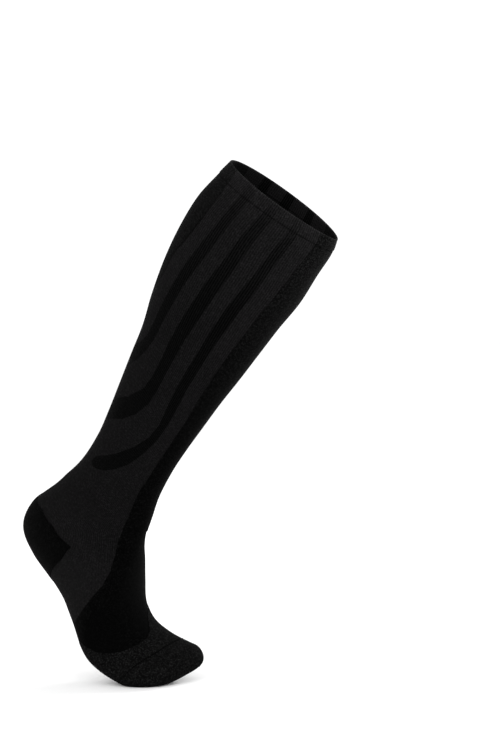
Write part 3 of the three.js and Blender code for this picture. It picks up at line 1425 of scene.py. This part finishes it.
@dataclass(frozen=True)
class KnitFinish:
    """A fine knit of dark yarn with support bands, mottled panels and painted light down the
    cloth.

    Tones are in linear light. A run reads the way down the cloth, in millimetres, unless its
    comment says otherwise. A plain finish has one tone and none of the zones.
    """

    name: str
    plain: Optional[float] = None
    ground: float = 0.0043
    foot: float = 0.0055
    warmth: float = 0.02
    band: float = 0.0013
    inner_band: float = 0.0018
    shin_top: float = 0.0032
    shin_low: float = 0.0010
    calf: float = 0.0024

    # How the zones fade, and the painted light that falls down the cloth
    band_fade: tuple[Run, Run] = ((2, 20, 0.1, 0.63), (20, 110, 0, 0.37))
    shin_fade: Run = (20, 270, 0, 1)
    foot_fade: Run = (370, 430, 0, 1)
    painted_front_light: Run = (150, 330, 0.2, 0)
    lights: tuple[Run, ...] = ((0, 170, 1.42, 1), (0, 30, 1.35, 1), (0.2, 2.2, 1.55, 1))
    calf_edge: Run = (15, 60, 0.2, 0.7)
    core_fade: Run = (420, 465, 0, 0.6)

    # Widths beside a zone's edge, in millimetres
    front_width: Span = (-50, -2)
    calf_line: Span = (0.2, 1.6)
    shin_line: Span = (0.2, 0.9)
    core_depth: Span = (12, 24)

    shin_edge: float = 0.45
    core_heather: float = 0.75
    # How much lighter the inner face is: partly its lighter yarn, partly painted light against
    # the shade inside
    reverse_yarn_and_painted_light: float = 0.3
    reverse_calm: float = 0.7
    heather: float = 0.5
    shin_heather: float = 0.9
    calf_heather: float = 0.5

    # Painted shade along X, in metres, and spread of the tone on a plain finish
    painted_point_shade: Run = (-0.262, -0.216, 1, 1)
    plain_heather: float = 1.3
    plain_rib: float = 0.4
    plain_spread: float = 0.2

    # How much less the ribs show in the panels, and how much more in the bands
    panel_rib: float = 0.75
    band_rib: float = 1.6

    rib_contrast: float = 0.6
    stitch_contrast: float = 0.26
    cloud_contrast: float = 0.3
    stitch_pitch: float = 1.15
    ripple_pitch: float = 3.4
    ripple_wander: float = 14
    ripple: float = 0.05
    seam_width: Span = (0.2, 1.2)
    seam_shade: float = 0.25
    darkest: float = 0.15

    # Depth of the relief in metres, how much of it shows, and heights as shares of the depth
    relief: float = 0.00028
    relief_strength: float = 0.6
    rib_height: float = 0.8
    stitch_height: float = 0.3
    yarn_height: float = 0.5
    seam_height: float = 0.9
    ripple_height: float = 4

    # How the surface takes the light. Sheen is a weight and a roughness.
    roughness: float = 0.8
    yarn_roughness: float = 0.12
    specular: float = 0.015
    sheen: Span = (0.006, 0.25)

    def colour_zones(self, g: KnitGraph) -> tuple[Value, Value, Any]:
        """Colours the leg and foot zone by zone, with painted light down the cloth.

        Args:
            g: The finish's graph.

        Returns:
            The colour, the factors of its heather, and how much the ribs show, as a value or a
            number.
        """
        shin_zone, calf_zone = g.inside(Mark.SHIN_PANEL), g.inside(Mark.CALF_PANEL)
        panel = shin_zone.math("MAXIMUM", calf_zone)
        reverse = g.mark(Mark.INNER_FACE)
        fade = g.down.linear(*self.band_fade[0]) + g.down.linear(*self.band_fade[1])
        bands = g.inside(Mark.BANDS) * fade.math("MAXIMUM", reverse)

        leg, foot = grey(self.ground, self.warmth), grey(self.foot, self.warmth)
        ground = g.mix(g.down.linear(*self.foot_fade), leg, foot)
        # Painted light: the ground beside the shin panel is painted lighter, fading out down the
        # shank
        beside = g.mark(Mark.SHIN_PANEL).smoothstep(*self.front_width)
        ground = g.shade(ground, 1 + beside * g.down.linear(*self.painted_front_light))
        band = g.mix(reverse, grey(self.band), grey(self.inner_band))
        shin = g.mix(g.down.linear(*self.shin_fade), grey(self.shin_top), grey(self.shin_low))
        colour = g.mix(bands, ground, band)
        colour = g.mix(calf_zone, colour, grey(self.calf))
        colour = g.mix(shin_zone, colour, shin)

        # Painted light: the leg painted lighter towards its top, the top more so, and the rolled
        # rim most
        for light in self.lights:
            colour = g.shade(colour, g.down.linear(*light))
        # The inner face painted lighter: partly its lighter yarn, partly painted light against
        # the shade inside the stocking
        colour = g.shade(colour, 1 + reverse * self.reverse_yarn_and_painted_light)
        calf_line = g.edge(Mark.CALF_PANEL, self.calf_line) * g.down.linear(*self.calf_edge)
        shin_line = g.edge(Mark.SHIN_PANEL, self.shin_line) * self.shin_edge
        colour = g.shade(colour, 1 - calf_line.math("MAXIMUM", shin_line))

        core = g.mark(Mark.SHIN_PANEL).smoothstep(*self.core_depth)
        core = core * g.down.linear(*self.core_fade)
        flecks = shin_zone * self.shin_heather + calf_zone * self.calf_heather + self.heather
        heather = g.heather(flecks * (1 - reverse * self.reverse_calm))
        heather = heather * (1 - core) + core * self.core_heather
        return colour, heather, 1 - panel * self.panel_rib + bands * self.band_rib

    def colour_plain(self, g: KnitGraph) -> tuple[Value, Value, Any]:
        """Colours a pocket in one yarn, with painted shade along X.

        Args:
            g: The finish's graph.

        Returns:
            The colour, the factors of its heather, and how much the ribs show, as a value or a
            number.
        """
        low, high = (grey(self.plain * (1 + side * self.plain_spread)) for side in (-1, 1))
        # Painted shade: the pocket darker towards its points along X
        colour = g.shade(g.mix(g.cloud, low, high), g.ahead.linear(*self.painted_point_shade))
        return colour, g.heather(self.plain_heather), self.plain_rib

    def build(self) -> bpy.types.Material:
        """Builds the finish.

        Returns:
            The material.
        """
        g = KnitGraph(self.name, self.stitch_pitch)
        made = self.colour_zones(g) if self.plain is None else self.colour_plain(g)
        colour, strength, ribbed = made
        # Fine ripples of the cloth: raised in the relief, and also painted lighter and darker in
        # the colour as painted shade
        turn = g.down * (2 * math.pi / self.ripple_pitch) + g.cloud * self.ripple_wander
        ripple = turn.math("SINE") * self.ripple
        strength = strength + (g.rib - 0.5) * ribbed * self.rib_contrast
        strength = strength + (g.stitch - 0.5) * self.stitch_contrast
        strength = strength + (g.cloud - 0.5) * self.cloud_contrast + ripple
        seam = g.mark(Mark.SEAM).smoothstep(*self.seam_width)
        strength = strength * (seam * self.seam_shade + (1 - self.seam_shade))
        colour = g.shade(colour, strength.math("MAXIMUM", self.darkest))
        height = g.rib * ribbed * self.rib_height + g.stitch * self.stitch_height
        height = height + g.yarn * self.yarn_height + seam * self.seam_height
        height = height + ripple * self.ripple_height
        normal = g.bump(height, self.relief, self.relief_strength)
        roughness = g.yarn * self.yarn_roughness + self.roughness
        return g.finish(colour, roughness, self.specular, normal, self.sheen)


# The heel pocket is painted darker towards its points, as painted shade
HEEL_YARN = KnitFinish(
    "heel_yarn", plain=0.0012, plain_rib=2.0, painted_point_shade=(-0.262, -0.216, 1, 0.65)
)
TOE_YARN = KnitFinish("toe_yarn", plain=0.0040, seam_shade=0.8)


@dataclass(frozen=True)
class ThreadFinish:
    """Twisted sewing thread. Tones are shares of its tone, and relief is in metres."""

    name: str
    tone: float
    twist_scale: float = 2600
    twist_stretch: tuple[float, float, float] = (1, 1, 2.5)
    dark: float = 0.6
    light: float = 1.5
    relief: float = 0.0001
    relief_strength: float = 0.5
    roughness: float = 0.6
    twist_roughness: float = 0.2
    specular: float = 0.02
    sheen: Span = (0.004, 0.5)

    def build(self) -> bpy.types.Material:
        """Builds the finish.

        Returns:
            The material.
        """
        g = Graph(self.name)
        twist = g.noise(self.twist_scale, 1.0, stretch=self.twist_stretch)
        colour = g.mix(twist, grey(self.tone * self.dark), grey(self.tone * self.light))
        normal = g.bump(twist, self.relief, self.relief_strength)
        roughness = twist * self.twist_roughness + self.roughness
        return g.finish(colour, roughness, self.specular, normal, self.sheen)


@dataclass(frozen=True)
class FloorFinish:
    """A matt pale floor."""

    name: str = "pale_floor"
    tone: float = 0.93
    spread: float = 0.01
    patches: float = 3.0
    roughness: float = 0.9
    specular: float = 0.1

    def build(self) -> bpy.types.Material:
        """Builds the finish.

        Returns:
            The material.
        """
        g = Graph(self.name)
        low, high = (grey(self.tone * (1 + side * self.spread)) for side in (-1, 1))
        colour = g.mix(g.noise(self.patches, 2.0), low, high)
        return g.finish(colour, self.roughness, self.specular)


@dataclass(frozen=True)
class Lamp:
    """A soft square lamp: its place and side in metres, and its power in watts."""

    name: str
    place: tuple[float, float, float]
    size: float
    power: float


@dataclass
class Studio:
    """The floor, the soft light and the camera. Sizes are in metres."""

    floor_height: float = -0.4783
    floor_size: float = 60.0
    focal_pixels: float = 1500.0
    picture_height: float = 750.0
    sensor: float = 36.0
    camera_place: tuple[float, float, float] = (0.5103, -1.3523, -0.1179)
    camera_right: tuple[float, float, float] = (0.9272, 0.3746, 0.0)
    camera_up: tuple[float, float, float] = (-0.0131, 0.0324, 0.9994)
    world_strength: float = 1.12
    clip_end: float = 200.0
    middle: tuple[float, float, float] = (-0.12, 0.0, -0.22)
    lamps: tuple[Lamp, ...] = (
        Lamp("key", (-0.9, -1.9, 1.3), 1.1, 13),
        Lamp("fill", (1.7, -1.2, 0.5), 1.2, 4),
        Lamp("rim", (0.75, 1.75, 0.45), 0.5, 26),
    )

    def lay_floor(self) -> bpy.types.Object:
        """Lays the floor under the toes.

        Returns:
            The floor.
        """
        bpy.ops.object.select_all(action="DESELECT")
        bpy.ops.mesh.primitive_plane_add(size=self.floor_size, location=(0, 0, self.floor_height))
        floor = bpy.context.object
        floor.name = "floor"
        bpy.ops.object.transform_apply(location=True, rotation=True, scale=True)
        floor.data.materials.append(FloorFinish().build())
        return floor

    def set_camera(self) -> bpy.types.Object:
        """Sets the camera at the picture's viewing angle.

        Returns:
            The camera.
        """
        data = bpy.data.cameras.new("camera")
        data.sensor_width = self.sensor
        data.lens = self.focal_pixels / self.picture_height * self.sensor
        data.clip_end = self.clip_end
        camera = bpy.data.objects.new("camera", data)
        bpy.context.scene.collection.objects.link(camera)
        right, up = Vector(self.camera_right).normalized(), Vector(self.camera_up)
        back = right.cross(up).normalized()
        up = back.cross(right)
        turned = Matrix((right, up, back)).transposed().to_4x4()
        camera.matrix_world = Matrix.Translation(self.camera_place) @ turned
        bpy.context.scene.camera = camera
        return camera

    def hang_lamp(self, lamp: Lamp) -> None:
        """Hangs a lamp that points at the middle of the stocking.

        Args:
            lamp: The lamp.
        """
        data = bpy.data.lights.new(lamp.name, "AREA")
        data.shape = "SQUARE"
        data.size = lamp.size
        data.energy = lamp.power
        light = bpy.data.objects.new(lamp.name, data)
        bpy.context.scene.collection.objects.link(light)
        light.location = lamp.place
        turn = (Vector(self.middle) - Vector(lamp.place)).to_track_quat("-Z", "Y")
        light.rotation_mode = "QUATERNION"
        light.rotation_quaternion = turn

    def light(self) -> None:
        """Fills the studio with soft light."""
        world = bpy.data.worlds.new("studio")
        world.use_nodes = True
        background = world.node_tree.nodes["Background"]
        background.inputs["Color"].default_value = grey(1)
        background.inputs["Strength"].default_value = self.world_strength
        bpy.context.scene.world = world
        for lamp in self.lamps:
            self.hang_lamp(lamp)

    def set_view(self) -> None:
        """Keeps the picture's colours plain."""
        bpy.context.scene.view_settings.view_transform = "Standard"
        bpy.context.scene.view_settings.look = "None"


def main() -> None:
    """Builds and dresses the stocking in its studio."""
    logging.basicConfig(level=logging.INFO, format="%(name)s: %(message)s")
    form = Form(SECTIONS)
    studio = Studio()
    studio.lay_floor()
    studio.set_camera()
    studio.light()
    studio.set_view()

    welt_row = StitchRow(
        form, "welt_stitching", level(WELT_ROW), first=-180, last=180, closed=True,
        pitch=2.6, length=2.2, thickness=0.5, slant=14, height=2.1,
    )
    toe_row = StitchRow(
        form, "toe_linking", toe_seam, first=-100, last=104, closed=False,
        pitch=1.7, length=2.3, thickness=0.75, slant=62, height=1.9,
    )
    welt_stitching = welt_row.build()
    toe_linking = toe_row.build()
    welt_row.dress(welt_stitching, ThreadFinish("welt_thread", 0.0024).build(), "welt_knit")
    toe_row.dress(toe_linking, ThreadFinish("toe_thread", 0.0018).build(), "toe_knit")

    pieces = (
        (Welt(form, with_pieces=[welt_stitching]), KnitFinish("welt_yarn", seam_shade=0.45)),
        (Leg(form), KnitFinish("leg_yarn")),
        (Heel(form), HEEL_YARN),
        (Foot(form), KnitFinish("foot_yarn")),
        (Toe(form, with_pieces=[toe_linking]), TOE_YARN),
    )
    for maker, finish in pieces:
        piece = maker.build()
        maker.dress(piece, finish.build())
        LOG.info("%s: %d faces", piece.name, len(piece.data.polygons))


if __name__ == "__main__":
    main()
